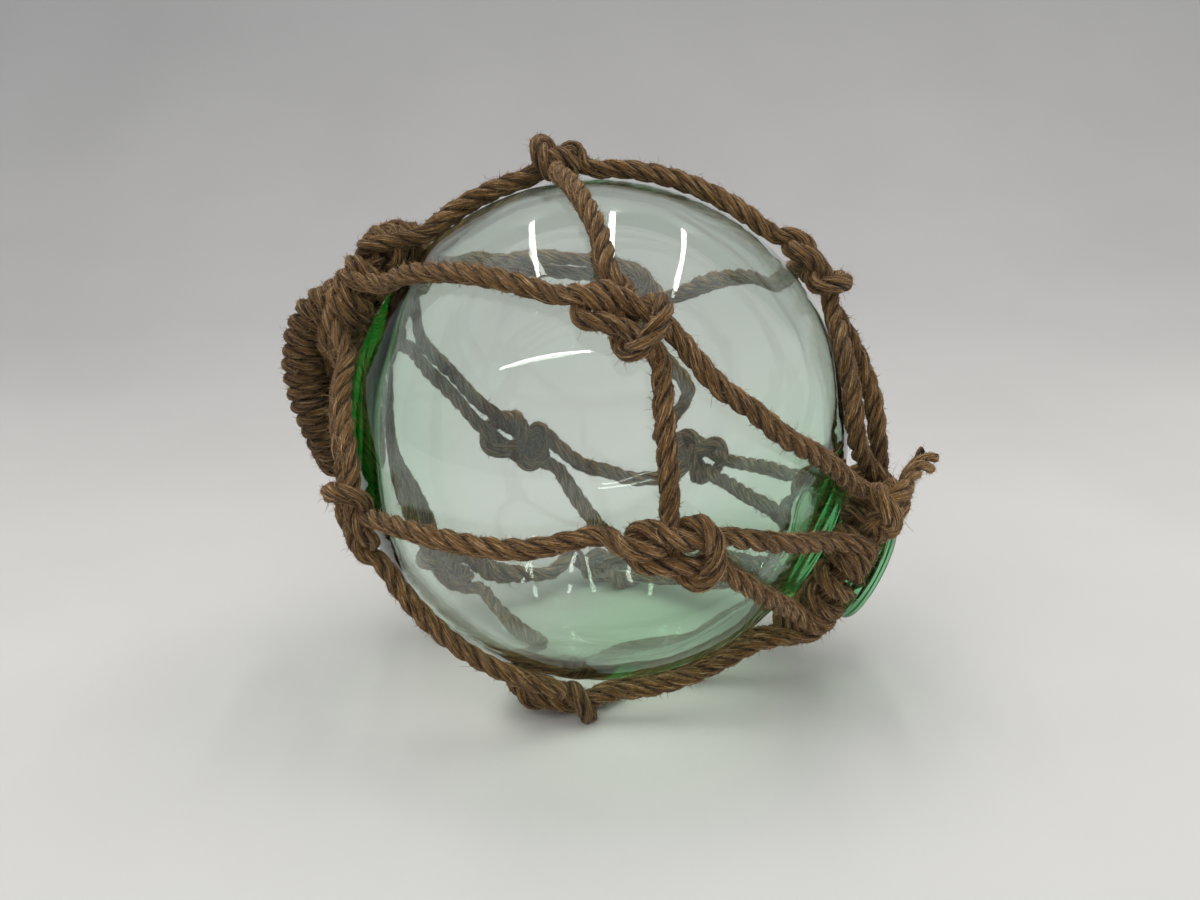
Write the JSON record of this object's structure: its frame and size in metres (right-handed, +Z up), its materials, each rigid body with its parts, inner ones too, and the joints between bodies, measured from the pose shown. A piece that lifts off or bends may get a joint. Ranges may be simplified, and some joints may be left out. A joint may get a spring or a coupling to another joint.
{
  "type": "netted glass fishing float",
  "caption": "Hollow glass ball with a round seal button, held in a knotted rope net with a hitched rope ring at each end and a served rope handle on one side.",
  "frame": {"origin": "on the surface the float lies on, below the middle of its bounding box", "axes": "+X from the crown of the net with its handle towards the seal of the glass, +Z up, the front of the float faces -Y"},
  "size_m": [0.3991, 0.3289, 0.3286],
  "materials": {
    "glass": "clear, pale sea green, blown",
    "rope": "three-strand natural fibre, hairy",
    "serving": "natural fibre serving, hairy"
  },
  "bodies": {
    "root": {"glass_ball": "glass", "knot_top": "rope", "knot_front_high": "rope", "knot_front_low": "rope", "knot_left": "rope", "knot_bottom": "rope", "knot_right": "rope", "knot_back_left": "rope", "knot_back_right": "rope", "knot_back_high": "rope", "knot_back_low": "rope", "knot_left_back": "rope", "rope_top_to_right": "rope", "rope_top_to_front_high": "rope", "rope_front_high_to_front_low": "rope", "rope_front_low_to_left": "rope", "rope_left_to_bottom": "rope", "rope_bottom_to_left_back": "rope", "rope_right_to_back_high": "rope", "rope_back_left_to_back_low": "rope", "rope_back_left_to_back_right": "rope", "rope_back_right_to_back_high": "rope", "rope_back_low_to_left_back": "rope", "crown_ring": "rope", "rope_back_left_to_crown_a": "rope", "rope_back_left_to_crown_b": "rope", "rope_left_back_to_crown_a": "rope", "rope_left_back_to_crown_b": "rope", "rope_left_to_crown_b": "rope", "rope_left_to_crown_a": "rope", "rope_front_high_to_crown_through": "rope", "rope_top_to_crown_a": "rope", "rope_top_to_crown_b": "rope", "rope_back_high_to_crown_b": "rope", "rope_back_high_to_crown_a": "rope", "crown_handle": "serving", "seal_ring": "rope", "rope_bottom_to_seal_a": "rope", "rope_bottom_to_seal_b": "rope", "rope_back_low_to_seal_b": "rope", "rope_back_low_to_seal_a": "rope", "rope_back_right_to_seal_a": "rope", "rope_back_right_to_seal_b": "rope", "rope_right_to_seal_a": "rope", "rope_right_to_seal_b": "rope", "rope_front_high_to_seal_a": "rope", "rope_front_low_to_seal_a": "rope", "rope_front_low_to_seal_b": "rope", "stopper_knot_and_tail": "rope"}
  },
  "joints": []
}
